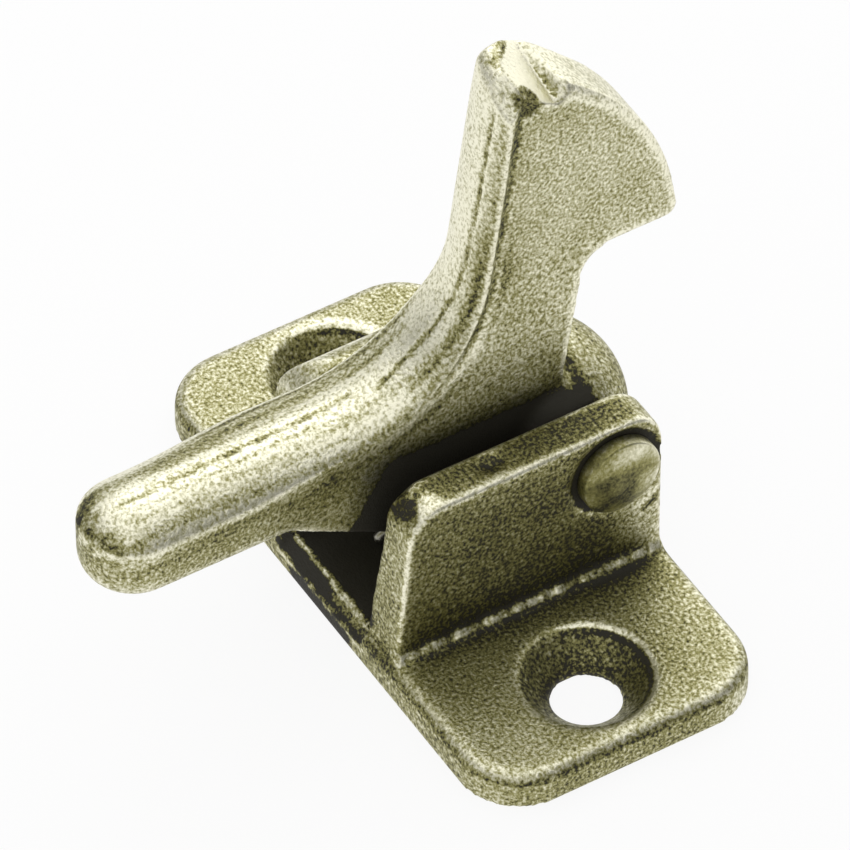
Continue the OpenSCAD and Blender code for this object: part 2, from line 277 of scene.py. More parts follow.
def behind_crest(points):
    y, z = points[:, 1] - ELBOW_Y, points[:, 2] - ELBOW_Z
    on_head = y * math.cos(LEAN) - z * math.sin(LEAN)
    above_elbow = y * math.sin(LEAN) + z * math.cos(LEAN) > 0
    round_elbow = np.where(above_elbow, on_head, np.hypot(y, z))
    return np.where(y < 0, -z, round_elbow) - ELBOW_RADIUS


print("deepest point", behind_crest(points_of(lever.data)).max().round(1), "mm behind the crest")

# %% [markdown]
# The web gets thinner towards the head, the bead less so, and a shallow groove parts the two. Each
# point is held within a half width that follows from how high it is and how far behind the crest.
# The hub and the body between the ears are left alone. On the far side the elbow's flank is
# fuller. After tumbling, one corner of the head is tumbled again, because it is rounder.

# %% Part the bead from the web and tumble the lever
PIVOT, HUB_RADIUS, BODY_TOP = np.array((0, 5.6, 9.4)), 4.4, 13.3
TAIL_HALF, GROOVE, FULLER_FLANK = 3.0, 0.16, 0.5
HEAD_CORNER = (-2.6, 1.7, 35.2)
edges = edges_of(lever.data)
shape = points_of(lever.data)
x, y, z = shape.T
depth = behind_crest(shape)
rise = ramp(z, 12.5, 23)
web = 2.7 - 0.9 * rise
bead = 2.75 - 0.45 * rise
groove = GROOVE * rise * band(depth, 1.15, 0.4, 0)
half_width = web + (bead - web) * ramp(depth, 1.0, 0.6) - groove
half_width = np.where(y < ELBOW_Y, TAIL_HALF - 0.3 * ramp(y, -15, ELBOW_Y), half_width)
body = (z < BODY_TOP) & (y > -5) | (np.hypot(y - PIVOT[1], z - PIVOT[2]) < HUB_RADIUS)
half_width = np.where(body, np.inf, half_width)
shape[:, 0] = np.clip(x, -half_width, half_width)
flank = ramp(y, -19, -11) * ramp(z, 22, 17) * ramp(depth, 2.4, 1.2)
shape[:, 0] -= FULLER_FLANK * flank * ramp(-shape[:, 0], 1.2, 2.5)
shape = tumble(shape, edges, 8)
shape = tumble(shape, edges, 16, spot(shape, HEAD_CORNER, 3.2, 1.2))
print("bead", 2 * bead.min().round(2), "mm wide on the head, web", 2 * web.min().round(2), "mm")

# %% [markdown]
# The head spreads into a fan, and the right edge of its rim is rolled over, most near the top. The
# roll is a quarter of an ellipse. A point that is closer to the rim than the roll is wide may stand
# out no further than the ellipse does.

# %% Roll the fan's edge
FAN_Y, FAN_Z, FAN_RADIUS, WEB_HALF = -4.0, 20.37, 16.5, 1.8
ROLL_Y, ROLL_WIDTH = [2, 4.5, 6, 9, 12], [0.6, 1.3, 0.9, 0.5, 0.4]
x, y, z = shape.T
inset = FAN_RADIUS - np.hypot(y - FAN_Y, z - FAN_Z)
roll = np.interp(y, ROLL_Y, ROLL_WIDTH)
short = np.clip(1 - inset / roll, 0, 1)
rolled = WEB_HALF - 0.7 * roll * (1 - np.sqrt(1 - short ** 2))
on_fan = ramp(y, 1.5, 3) * (z > 23)
shape[:, 0] = np.where(x > rolled, x + on_fan * (rolled - x), x)
print("rim rolled over a width of up to", max(ROLL_WIDTH), "mm")

# %% [markdown]
# The top of the head was trimmed by hand where the melt ran in. A file left one bright facet across
# the rim, a brow in front of it, a hollow beside it and a small lip along the far edge. The facet
# and the brow are planes again. The hollow is pressed in softly, and the lip pulled out.

# %% File the top of the head
FACET_POINT = np.array((0.4, 3.85, 33.95))
FACET_ALONG, FACET_ACROSS = np.array((0.83, 0.276, -0.484)), np.array((-0.298, 0.856, -0.42))
FACET_OUT, BROW_OUT = np.array((0.303, 0.504, 0.809)), np.array((0.555, -0.486, 0.675))
BROW_POINT, BROW_DEEPEST = FACET_POINT - 1.3 * FACET_ACROSS, 1.2
HOLLOW, HOLLOW_LONG, HOLLOW_WIDE = np.array((1.65, 3.2, 33.55)), 1.2, 0.85
HOLLOW_DEPTH, LIP_OUT, LIP_UP, HEAD_TOP = 0.4, 0.3, 0.2, 35.04


def off_hollow(points):
    off = points - HOLLOW
    along = off @ FACET_ALONG
    off_line = (off ** 2).sum(1) - along ** 2
    return np.sqrt((along / HOLLOW_LONG) ** 2 + off_line / HOLLOW_WIDE ** 2)


def facet_end(off):
    return off @ FACET_ALONG + 0.5 * (off @ FACET_ACROSS)


on_top = (z > 31) & (y > 0.5)
off = shape - FACET_POINT
on_facet = on_top * ramp(off @ FACET_ACROSS, 1.35, 1.1) * ramp(facet_end(off), -2.3, -1.9)
print("facet", flatten(shape, FACET_POINT, FACET_OUT, on_facet), "mm deep")
print("brow", flatten(shape, BROW_POINT, BROW_OUT, on_top, BROW_DEEPEST), "mm deep")
shape -= (HOLLOW_DEPTH * ramp(off_hollow(shape), 1, 0.2))[:, None] * BROW_OUT
lip = ramp(inset, 2, 0.3) * ramp(y, 2.2, 3.6) * ramp(y, 7.5, 4.5) * ramp(-x, 0, 1.5) * (z > 28)
shape[:, 0] -= LIP_OUT * lip
shape[:, 2] = np.minimum(z + LIP_UP * lip, HEAD_TOP)
shape = tumble(shape, edges, 3)

# %% [markdown]
# The two halves of the lever's mould met along the middle of the crest, and the seam is still there
# as a fine line that wanders a little and stops for a moment where the two halves had slipped at
# the elbow. It is pressed in along the normals, and broken by waves.

# %% Press in the seam
SEAM_PLACE = [-6, 0, 6, 9, 10.5, 12.7, 15, 18, 20.5, 24, 28, 35]
SEAM_X = [0.2, 0, -0.25, -0.28, 0.4, 0.2, 0.2, 0.3, 0.45, 0.6, 0.75, 0.8]
SEAM_DEPTH, SLIP_PLACE = 0.08, 9.7


def right_of_seam(points):
    return points[:, 0] - np.interp(points[:, 1] + points[:, 2], SEAM_PLACE, SEAM_X)


def on_crest(points):
    off_slip = np.abs(points[:, 1] + points[:, 2] - SLIP_PLACE)
    on_bead = (behind_crest(points) < 0.5) * ramp(points[:, 1], -21.5, -20.5)
    return on_bead * ramp(off_slip, 0.5, 1)


seam = band(right_of_seam(shape), 0, 0.24, 0.05) * on_crest(shape)
pressed = SEAM_DEPTH * seam * ragged(shape * (0, 1, 1), 0.9)
shape -= pressed[:, None] * points_of(lever.data, "normal")
print("seam up to", pressed.max().round(2), "mm deep")
settle(lever, shape)


# %% [markdown]
# ## The rivet
# The rivet is a brass pin with a low flat head on the right, and an end that was hammered out on
# the left. It is a turned shape, so its profile is drawn once and spun about the pivot. A Screw
# modifier would spin it too, but both this piece and the spring are rows of rings, so one function
# skins them.

# %% Skin a row of rings
def skin(name, rings):
    count, around = rings.shape[:2]
    faces = []
    for i in range(count - 1):
        for k in range(around):
            a, b = i * around + k, i * around + (k + 1) % around
            faces.append((a, b, b + around, a + around))
    last = (count - 1) * around
    faces += [tuple(range(around))[::-1], tuple(range(last, last + around))]
    mesh = bpy.data.meshes.new(name)
    mesh.from_pydata((rings.reshape(-1, 3) * MM).tolist(), [], faces)
    mesh.shade_smooth()
    piece = bpy.data.objects.new(name, mesh)
    scene.collection.objects.link(piece)
    print(name, len(faces), "faces")
    return piece


# %% [markdown]
# A head goes from the pin out along its seat, up a rim with soft corners and over a dome, which is
# part of a ball. The hammered end has no rim. The hammer left both domes slightly uneven.

# %% Spin the rivet
PIN_RADIUS, SEAT, SPOKES, KNOCK = 1.5, 6.65, 64, 0.05
HEAD_WIDTH, HEAD_RIM, HEAD_DOME = 4.75, 0.9, 0.35
END_WIDTH, END_DOME = 4.4, 0.9
SOFT_RIM = 0.18


def head_profile(width, rim, dome):
    """Points (height above the seat, radius) from the pin outwards, up the rim, over the dome."""
    half = width / 2
    ball = (width ** 2 / 4 + dome ** 2) / (2 * dome)
    profile = [(0, PIN_RADIUS), (0, half - SOFT_RIM)]
    if rim:
        profile += [(SOFT_RIM * (1 - math.cos(t)), half - SOFT_RIM + SOFT_RIM * math.sin(t))
                    for t in np.linspace(0.2, math.pi / 2, 4)]
        profile += [(rim - 0.1, half), (rim + 0.02, half - 0.04)]
    return profile + [(rim + math.sqrt(ball ** 2 - r ** 2) - ball + dome, r)
                      for r in np.linspace(half - 0.12, 0.08, 12)]


profile = [(-SEAT - h, r) for h, r in reversed(head_profile(END_WIDTH, 0, END_DOME))]
profile += [(x, PIN_RADIUS) for x in np.linspace(-SEAT + 0.1, SEAT - 0.1, 12)]
profile += [(SEAT + h, r) for h, r in head_profile(HEAD_WIDTH, HEAD_RIM, HEAD_DOME)]
turn = 2 * np.pi * np.arange(SPOKES) / SPOKES
rings = np.array([PIVOT + np.stack([0 * turn + x, r * np.cos(turn), r * np.sin(turn)], axis=1)
                  for x, r in profile])
knocks = KNOCK * ragged(rings.reshape(-1, 3), 1.1).reshape(rings.shape[:2])
rings[:, :, 0] -= np.sign(rings[:, :, 0]) * knocks * (np.abs(rings[:, :, 0]) > SEAT + 0.2)
rivet = skin("rivet_turned", rings)

# %% [markdown]
# ## The spring
# A wire is wound once and a half round the rivet, with one leg on the plate and one under the
# lever, and pushes the hook back after each press. The route repeats the CAD model's. A curve with
# a bevel would do for the wire; here the rings are set along the route and skinned into a mesh.

# %% Wind the spring
WIRE, COIL, HALF_WIDTH, COIL_POINTS = 0.35, 2.15, 0.826, 80
WIND_START, WIND_SWEEP = math.radians(-67), math.radians(517)
PLATE_LEG, LEVER_LEG, PLATE_LEG_FALL = 12.16, 8.0, math.radians(23)
TIP = [0.0, 0.03, 0.1, 0.2, 0.35]

wind = WIND_START + np.linspace(0, WIND_SWEEP, COIL_POINTS)
coil = np.stack([np.linspace(-HALF_WIDTH, HALF_WIDTH, COIL_POINTS),
                 COIL * np.cos(wind), COIL * np.sin(wind)], axis=1)
down = np.array((0, -math.cos(PLATE_LEG_FALL), -math.sin(PLATE_LEG_FALL)))
reach = [PLATE_LEG - t for t in TIP] + list(np.linspace(PLATE_LEG - 1, 0.5, 14))
plate_leg = [coil[0] + t * down for t in reach]
reach = list(np.linspace(0.5, LEVER_LEG - 1, 10)) + [LEVER_LEG - t for t in TIP[::-1]]
lever_leg = [coil[-1] - np.array((0, t, 0)) for t in reach]
route = PIVOT + np.array([*plate_leg, *coil, *lever_leg])
walked = np.concatenate([[0], np.cumsum(np.linalg.norm(np.diff(route, axis=0), axis=1))])
print("wire", walked[-1].round(1), "mm long")

# %% [markdown]
# A ring stands square to the route at each of its points. The rings shrink over the last third of
# a millimetre, as a clipped and deburred end does.

# %% Skin the wire
AROUND = 16
to_end = np.clip(np.minimum(walked, walked[-1] - walked) / WIRE, 0.04, 1)
radius = WIRE * np.sqrt(1 - (1 - to_end) ** 2)
ahead = np.gradient(route, axis=0)
ahead /= np.linalg.norm(ahead, axis=1)[:, None]
sideways = np.array((1, 0, 0)) - ahead[:, :1] * ahead
sideways /= np.linalg.norm(sideways, axis=1)[:, None]
turn = (2 * np.pi * np.arange(AROUND) / AROUND)[None, :, None]
rings = np.cos(turn) * sideways[:, None] + np.sin(turn) * np.cross(ahead, sideways)[:, None]
spring = skin("spring_wire", route[:, None] + radius[:, None, None] * rings)

# %% [markdown]
# ## What moves with what
# The bracket and the rivet stand still on the base; the lever rides on a body of its own and
# swings. The spring is baked in place.

# %% Ride on the bodies
for piece, node, slot in ((bracket, "base_bracket", "bracket_casting"),
                          (lever, "lever", "lever_casting"),
                          (rivet, "pivot_rivet", "rivet"),
                          (spring, "return_spring", "spring_wire")):
    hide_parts(node)
    print(piece.name, "stands for", node)
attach(bracket, "base")
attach(rivet, "base")
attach(lever, "lever")
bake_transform(spring)


# %% [markdown]
# ## Where the finish is rubbed, and where light and shade are painted
# Antique brass is plating that is blackened all over and then buffed. The buff takes the black off
# what stands out and can't reach what lies back. How far a place lies back can be measured: a grid
# of small cells is filled with the solid parts and blurred. Just outside a corner the blurred value
# is low, and inside a slot it is high. Ambient occlusion in the shader could do this too, but it
# would be lost in an export, and here the numbers can be read and changed.

# %% Fill a grid with the solid parts
PITCH, MARGIN, MOST_CROSSINGS = 0.4, 6, 20
corners = np.array([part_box(node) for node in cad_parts]) / MM
lowest = corners[:, 0].min(0) - MARGIN
cells = np.ceil((corners[:, 1].max(0) + MARGIN - lowest) / PITCH).astype(int)


def fill(grid, mesh):
    """Add a mesh's share of each cell, from rays that go up through it four to a cell."""
    points = points_of(mesh) / MM
    tree = BVHTree.FromPolygons(points.tolist(), [tuple(p.vertices) for p in mesh.polygons])
    low, high = points.min(0), points.max(0)
    layers = lowest[2] + PITCH * np.arange(cells[2] + 1)
    columns = [np.arange(math.floor(2 * (low[k] - lowest[k]) / PITCH),
                         math.ceil(2 * (high[k] - lowest[k]) / PITCH)) for k in (0, 1)]
    for i in columns[0]:
        for j in columns[1]:
            start = Vector((lowest[0] + (i + 0.51) * PITCH / 2, lowest[1] + (j + 0.53) * PITCH / 2,
                            low[2] - 1))
            crossings = []
            while (hit := tree.ray_cast(start, (0, 0, 1))[0]) and len(crossings) < MOST_CROSSINGS:
                crossings.append(hit.z)
                start.z = hit.z + 1e-4
            for floor_z, roof_z in zip(crossings[::2], crossings[1::2]):
                grid[i // 2, j // 2] += np.diff(np.clip(layers, floor_z, roof_z)) / PITCH / 4


solid = np.zeros(cells)
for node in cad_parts.values():
    fill(solid, node.data)
solid = np.minimum(solid, 1)
print("solid", round(solid.sum() * PITCH ** 3), "cubic mm in", cells, "cells")


# %% [markdown]
# The grid is blurred twice, widely and narrowly. A blur is quick in the frequencies, where each one
# is only turned down by its own amount. One more grid is filled from each solid cell down to the
# floor, and tells what has a roof. A value is read between the eight cells round a point.

# %% Blur the grid and read it at a point
def blurred(grid, reach):
    spectrum = np.fft.rfftn(grid)
    for axis, count in enumerate(cells):
        rate = np.fft.rfftfreq(count) if axis == 2 else np.fft.fftfreq(count)
        gain = np.exp(-2 * (math.pi * reach / PITCH * rate) ** 2)
        spectrum *= gain.reshape([-1 if k == axis else 1 for k in range(3)])
    return np.fft.irfftn(spectrum, cells)


def read(grid, points):
    place = np.clip((points - lowest) / PITCH - 0.5, 0, cells - 1.001)
    whole = place.astype(int)
    part = place - whole
    total = 0
    for corner in np.ndindex(2, 2, 2):
        weight = np.prod(np.where(corner, part, 1 - part), axis=1)
        total = total + weight * grid[tuple((whole + corner).T)]
    return total


wide, near = blurred(solid, 3.0), blurred(solid, 0.8)
roofed = np.maximum.accumulate(solid[:, :, ::-1], axis=2)[:, :, ::-1]
roofed = blurred(roofed, 0.7)
print("fullest cell after blurring", wide.max().round(2), near.max().round(2))


# %% [markdown]
# Four measures describe each point of a casting: how sheltered it is from a wide buff, how deep it
# lies in a narrow crevice, whether something covers it from above, so that it lies in shadow, and
# how proud it stands of its own smoothed surface, which picks out the edges. They are added up,
# with painted highlights and painted shade, to one value of wear and painted light: below 0 is full
# black, 1 is bare metal. It is stored on the points, where the material can read it.

# %% Measure a casting and store its wear and painted light
FLAT_FACE, FULL_BLACK = 0.41, -0.4


def measure(casting):
    mesh = casting.data
    points, normals = points_of(mesh) / MM, points_of(mesh, "normal")
    outside = points + 0.2 * normals
    shelter = read(wide, outside)
    crevice = np.maximum(read(near, outside) - FLAT_FACE, 0)
    shadowed_from_above = ramp(read(roofed, points + 1.5 * normals), 0.25, 0.75)
    proud = ((points - tumble(points, edges_of(mesh), 30)) * normals).sum(1)
    print(casting.name, "shelter up to", shelter.max().round(2), "proud by", proud.max().round(2))
    return points, normals, shelter, crevice, shadowed_from_above, proud


def store_wear_and_light(piece, wear_and_painted_light):
    attribute = piece.data.attributes.new("wear_and_painted_light", "FLOAT", "POINT")
    attribute.data.foreach_set("value", wear_and_painted_light.astype(np.float32))
    shares = np.percentile(wear_and_painted_light, [2, 25, 50, 75, 98]).round(2)
    print(piece.name, "rub from darkest to palest", shares)


# %% [markdown]
# On the bracket the wings are rubbed pale, the ears' outer faces less, and the countersinks hardly.
# In each line from here on, the number in front says how strongly something is rubbed, left black,
# or brightened or darkened by painted light. The numbers in a ramp, band or spot say where that is,
# in millimetres, or as a slope where they follow a normal.

# %% Rub the bracket
SCREW_X, SCREW_RIM = 13, 3.72
points, normals, shelter, crevice, shadowed_from_above, proud = measure(bracket)
x, y, z = points.T
nx, ny, nz = normals.T
on_left, on_right = x < 0, x > 0
off_screw = np.hypot(np.abs(x) - SCREW_X, y)
in_cone = ramp(off_screw, 3.75, 3.5)
wear_and_painted_light = 0.71 - 1.1 * shelter - 0.9 * crevice - 0.1 * (z < 2) * (1 - np.abs(nz))
wear_and_painted_light *= 1 - 0.35 * in_cone
wear_and_painted_light += in_cone * (0.3 * np.maximum(-nx, 0) + 0.08 * on_left)
wear_and_painted_light += in_cone * 0.4 * ramp(off_screw, 2.35, 2.05) * on_left
wear_and_painted_light -= in_cone * 0.15 * ramp(off_screw, 2.4, 2.1) * on_right
on_ear = ramp(np.abs(nx), 0.7, 0.9) * (np.abs(x) > 6.5)
low_back = ramp(y, 4.5, 7.5) * ramp(z, 9, 6.5)
wear_and_painted_light -= on_ear * (0.06 * ramp(z, 5.5, 3) + 0.1 * ramp(z, 7, 9) - 0.25 * low_back)
print("rub in the countersinks", wear_and_painted_light[in_cone > 0.5].mean().round(2),
      "and all over", wear_and_painted_light.mean().round(2))

# %% [markdown]
# An edge that stands proud is rubbed bright, but only on its upper shoulder, where the light from
# above falls, which makes a painted highlight; a painted dark line of shade lies below it.
# The fin at the foot of each ear shines in short pieces, and so does the right ear's outer edge.

# %% Brighten the bracket's edges
# wear on proud edges, kept only where they face up to the lamps: partly a painted highlight
worn_and_lit_shoulder = 5.5 * np.maximum(proud - 0.04, 0) * ramp(nz, 0.3, 0.75) * (0.5 + ragged(points, 0.4))
# painted shade: a dark line on the plate's edges below their upper shoulder
painted_shade_below = 0.25 * ramp(nz, 0.75, 0.6) * ramp(nz, 0.15, 0.35) * (z < PLATE_TOP) * (1 - in_cone)
edge = worn_and_lit_shoulder - painted_shade_below + 2 * np.minimum(proud, 0)
foot = np.hypot(np.abs(x) - EAR_FOOT - 0.05, z - PLATE_TOP - 0.3)
edge += 0.7 * ramp(foot, 0.32, 0.1) * ragged(points * (0.2, 1, 0.2), 0.35)
ear_edge = band(nx, 0.65, 0.36, 0.2) * (np.abs(x - 7) < 0.8) * (z > 3.5)
edge += 0.85 * ear_edge * ragged(points, 0.5)
edge -= 0.12 * ramp(z, 12.3, 12.5) * ramp(nz, 0.85, 0.95)
print("edges brightened by up to", edge.max().round(2))

# %% [markdown]
# The nick is black inside, and bare on the corner next to it. The left ear is pale where it was
# ground, with a painted highlight along its shoulder where it turns edge-on to the view. On the far
# side of each countersink the rim gets a painted highlight, spreading outwards on the left hole,
# with a painted dark line inside it.

# %% Pick out the ears' corners and the countersinks' rims
off_nick = np.linalg.norm((points - NICK - (0.4, -0.1, -0.1)) / (1.3, 0.8, 0.8), axis=1)
edge -= 0.48 * ramp(off_nick + 0.7 * waves(points, 0.4), 1.1, 0.7)
edge += 0.4 * spot(points, NICK + (1.4, 1.0, 0.4), 0.9, 0.5)
ground = ramp(z, 9.5, 11) * ramp(y, 0, -3) * (x < -5)
# the band at nx -0.72 is a painted highlight where the shoulder turns edge-on to the view
edge += ground * (0.25 + 0.4 * band(nx, -0.72, 0.24, 0.12))
far_side = ramp(y - 0.4 * np.abs(np.abs(x) - SCREW_X), -2, 1) * (z > 1.8)
# painted highlight on the far rim of each countersink, and a painted dark line inside it
edge += 0.75 * far_side * band(off_screw, SCREW_RIM, 0.2, 0.06)
edge -= 0.35 * far_side * band(off_screw, SCREW_RIM - 0.3, 0.2, 0.08)
# the painted highlight spreads outside the rim on the left hole
outside_rim = ramp(off_screw, SCREW_RIM + 0.8, SCREW_RIM + 0.1) * (1 - in_cone)
edge += 0.5 * far_side * outside_rim * on_left
print("points inside the nick:", (off_nick < 1).sum())

# %% [markdown]
# The plate between the ears lies under the lever and is painted black: painted shadow of the lever,
# on plate that no buff reaches either. No buff reaches the sunk ring round each end of the rivet,
# and it stays black. Both have an edge that wanders.

# %% Paint the lever's shadow on the bracket, and leave it black round the rivet
between = ramp(np.abs(x) + 0.6 * waves(points, 0.8), 4.7, 4.0)
in_slot = between * ramp(z, 4, 3.2) * ramp(z, 1.05, 1.25)
# painted shadow of the lever: black in the slot between the ears and where the lever covers the
# plate
black = np.maximum(in_slot, 0.95 * shadowed_from_above) * ramp(ny, 0.6, 0.2)
ring = np.where(on_right, 2.95, 2.4)
off_pivot = np.hypot(y - PIVOT[1], z - PIVOT[2])
black = np.maximum(black, ramp(off_pivot, ring, ring - 0.2) * (np.abs(x) > 6))
wear_and_painted_light += black * (FULL_BLACK - wear_and_painted_light) + edge
print("black on", round(100 * (black > 0.5).mean()), "% of the bracket's points")

# %% [markdown]
# Three marks lie on top of this: a painted glint below the rivet's head with a painted dark line
# under it, the two edges of the bevel, rubbed in pieces, and a grey place between these edges next
# to the right ear. The plate's flat faces are never as pale as its edges, so their value has a
# limit.

# %% Paint a glint on the right ear and rub the bevel
# painted glint: a short highlight below the rivet's head, with a painted dark line under it
GLINT_BACK, GLINT_DOWN = 0.61, 0.79
toward_glint = (GLINT_BACK * (y - PIVOT[1]) - GLINT_DOWN * (z - PIVOT[2])) / off_pivot
painted_glint = band(off_pivot, 3.65, 0.2, 0.08) - 0.5 * band(off_pivot, 4.15, 0.35, 0.15)
wear_and_painted_light += 0.8 * painted_glint * ramp(toward_glint, 0.94, 0.98) * (x > 6)
bevel_edges = np.minimum(np.hypot(y + 8.0, z - PLATE_TOP), np.hypot(y + 8.62, z - 1.15))
lines = ramp(bevel_edges, 0.4, 0.15) * (0.35 + 0.5 * ragged(points, 0.5))
patches = ramp(waves(points, 0.9), 0.05, 0.4) * (z < PLATE_TOP - 0.1)
grey = ramp(x, -1, 1.5) * ramp(z, 1.35, 1.65) * ramp(z, 2.15, 2.0)
wear_and_painted_light += between * (lines + 0.12 * patches + 0.8 * grey)
palest = np.where((z < 3) & (off_screw > 4.6), 0.7, 0.9)
store_wear_and_light(bracket, np.clip(wear_and_painted_light, FULL_BLACK, palest))

# %% [markdown]
# The lever is handled every day, so it is paler than the bracket. It is palest where it faces
# upwards and along the crest of the bead. The left side of the tail and the right side of the bead
# are rubbed less, and the hub gets painted shade where it lies in the shadow of the head.

# %% Rub the lever
points, normals, _, crevice, _, proud = measure(lever)
x, y, z = points.T
nx, _, nz = normals.T
depth, off_seam = behind_crest(points), right_of_seam(points)
crest = ramp(depth, 0.9, 0.2) * (1 - 0.75 * ramp(off_seam, 0, 0.4))
exposed = np.maximum(nz, 1.5 * crest * ramp(z, 14, 18))
wear_and_painted_light = 0.5 + 0.12 * ramp(z, 13, 20) + 0.32 * exposed - 0.9 * crevice
wear_and_painted_light += 6 * np.maximum(proud - 0.02, 0) + 2 * np.minimum(proud, 0)
wear_and_painted_light -= 0.18 * ramp(-nx, 0.25, 0.8) * ramp(y, -5, -8)
bead_right = ramp(off_seam, 0.4, 1.2) * ramp(depth, 1.2, 0.6)
wear_and_painted_light -= bead_right * (0.3 * ramp(z, 15.6, 17) * ramp(z, 30, 24) + 0.15 * ramp(z, 24, 28))
# painted shade: the hub, in the shadow of the head
wear_and_painted_light -= 0.22 * ramp(y, 3, 5) * ramp(z, 16, 14)
print("rub on the lever before its marks", wear_and_painted_light.mean().round(2))

# %% [markdown]
# Some places have marks of their own. The nose gets painted shade in an arc where it turns down. A
# painted highlight runs along the far flank where it turns edge-on to the view, with a painted dark
# line above it. The groove behind the bead is dark, the top of the elbow is rubbed bright and given
# a painted highlight, the left of the bead gets a painted reflection of the bright floor, and the
# rounder corner of the head is dark again.

# %% Mark the nose, the flank, the groove and the elbow
DARK_CORNER = (-1.9, 2.8, 35)
# painted shade: an arc on the nose where it turns down, away from the lamps
wear_and_painted_light -= 0.5 * ramp(y, -20, -21.5) * ramp(nz, 0.9, 0.7) * ramp(nz, 0.15, 0.45)
flank = ramp(y, 0, -2.5) * ramp(z, 12.8, 13.4)
# painted highlight where the far flank turns edge-on to the view, with a painted dark line above it
wear_and_painted_light += flank * (0.5 * band(nx, -0.72, 0.24, 0.14) - 0.3 * band(nx, -0.36, 0.2, 0.1))
in_groove = band(depth, 1.1, 0.4, 0.1) * ramp(z, 16.5, 19) * ramp(x, 1.0, 1.5)
wear_and_painted_light -= 0.22 * in_groove * ragged(points, 1.2)
# the top of the elbow: rubbed, and brightened further as a painted highlight
wear_and_painted_light += 0.38 * band(y, -5.5, 3.5, 1.5) * ramp(depth, 0.8, 0.3) * band(x, -0.3, 1.4, 0.7)
bead_left = ramp(-off_seam, 0.1, 0.5) * ramp(depth, 1, 0.5)
# painted reflection: the left of the bead brightened as if it mirrored the floor
wear_and_painted_light += 0.1 * bead_left * ramp(z, 16, 20) * ramp(z, 33, 30)
wear_and_painted_light -= 0.38 * spot(points, DARK_CORNER, 2, 0.9)
print("rub with its marks", wear_and_painted_light.mean().round(2))

# %% [markdown]
# The neck's back edge gets a painted highlight, and the hub just behind it painted shade. The edge
# leans and curves, so where it is gets measured level by level, from the points themselves.

# %% Paint a highlight on the back edge of the neck
levels = np.arange(14.2, 25, 0.4)
back = [y[(np.abs(z - level) < 0.3) & (np.abs(x) < 1)].max() for level in levels]
before_back = np.interp(z, levels, back) - y
neck_edge_highlight = band(before_back, 0.2, 0.4, 0.2) * ramp(z, 12.9, 13.5) * ramp(z, 25, 18) * (x > 1)
shade_behind_neck = ramp(before_back, 0, -0.3) * ramp(before_back, -1.2, -0.6) * ramp(z, 15, 14)
# painted highlight on the neck's back edge, painted shade on the hub just behind it
wear_and_painted_light += 0.5 * neck_edge_highlight - 0.4 * shade_behind_neck
print("back of the neck at y", np.round([back[0], back[-1]], 2))

# %% [markdown]
# The thumb has drawn fine streaks along the crest: waves that are narrow across it and long along
# it. The seam is dark, with a painted highlight beside it, on its right along the tail and on its
# left up the head.

# %% Streak the crest and mark the seam
STREAK_WIDE, STREAK_LONG = 0.45, 7
on_tail = y < -6
stretched = np.stack([x / STREAK_WIDE, depth / STREAK_WIDE, (y + z) / STREAK_LONG], axis=1)
wear_and_painted_light += 0.4 * waves(stretched, 1) * ramp(depth, 3, 2) * ramp(z, 26, 20)
seam_highlight = band(off_seam, np.where(on_tail, 0.4, -0.35), 0.3, 0.1)
within = band(off_seam, 0, 0.22, 0.08) * ramp(z, 34, 32)
# painted highlight: a bright line beside the seam
wear_and_painted_light = np.clip(wear_and_painted_light + 0.25 * on_crest(points) * seam_highlight, 0.03, 0.92)
broken = 0.4 + 0.6 * ragged(points * (0, 1, 1), 0.9)
wear_and_painted_light -= np.where(on_tail, 0.35, 0.6) * on_crest(points) * within * broken
print("points in the seam:", (on_crest(points) * within > 0.5).sum())

# %% [markdown]
# Inside the ears the lever's face is painted black: painted shade of the narrow slot between lever
# and ear. The hollow on the head gets some painted black too, as painted shadow under the end of
# the facet. The file took all the finish off its facet, apart from a dark rim at the facet's end.

# %% Paint shade on the lever inside the ears and in the hollow, and leave the filed facet bare
wander = 0.12 * waves(points, 0.6)
# painted shade: the lever's face inside the ears' slot is made black
black = ramp(np.abs(x), 1.8, 2.2) * ramp(z + wander, 12.8, 12.3) * ramp(y + 2 * wander, 6.7, 5.4)
black *= ramp(y - 0.6 * (z - 11) + wander, -7.2, -6.6)
# painted shadow in the hollow under the end of the facet
black = np.maximum(black, 0.3 * ramp(off_hollow(points), 1.1, 0.7))
wear_and_painted_light += black * (FULL_BLACK - wear_and_painted_light)
off = points - FACET_POINT
across, above, end = off @ FACET_ACROSS, off @ FACET_OUT, facet_end(off)
rim = band(end, -2.25, 0.45, 0.25) * band(across, 0.2, 1.7, 1.2) * band(above, 0, 0.8, 0.5)
bare = band(across, 0.1, 1.2, 1.0) * band(above, 0, 0.15, 0.08) * ramp(end, -2.1, -1.8)
bare *= ramp(off_hollow(points), 0.9, 1.1) * (normals @ FACET_OUT > 0.85)
store_wear_and_light(lever, wear_and_painted_light - 0.34 * rim + 0.9 * bare)

# %% [markdown]
# The rivet's head was plated smooth, so its wear is only soft clouds. Painted light makes it paler
# towards the top and the back, the side that the lamps light, and a painted highlight brightens its
# lower rim.

# %% Rub the rivet and paint its light
points = points_of(rivet.data) / MM
y, z = points[:, 1] - PIVOT[1], points[:, 2] - PIVOT[2]
painted_rim_highlight = ramp(np.hypot(y, z), 1.9, 2.4) * ramp(y - z, -0.7, 1.8)
painted_light_up_back = (y + z) / 3.4
# painted light: paler towards the top and back, and a painted highlight on the lower rim
wear_and_painted_light = 0.43 + 0.2 * painted_light_up_back + 0.4 * waves(points, 1.3) + 0.2 * painted_rim_highlight
store_wear_and_light(rivet, np.clip(wear_and_painted_light, 0, 1))


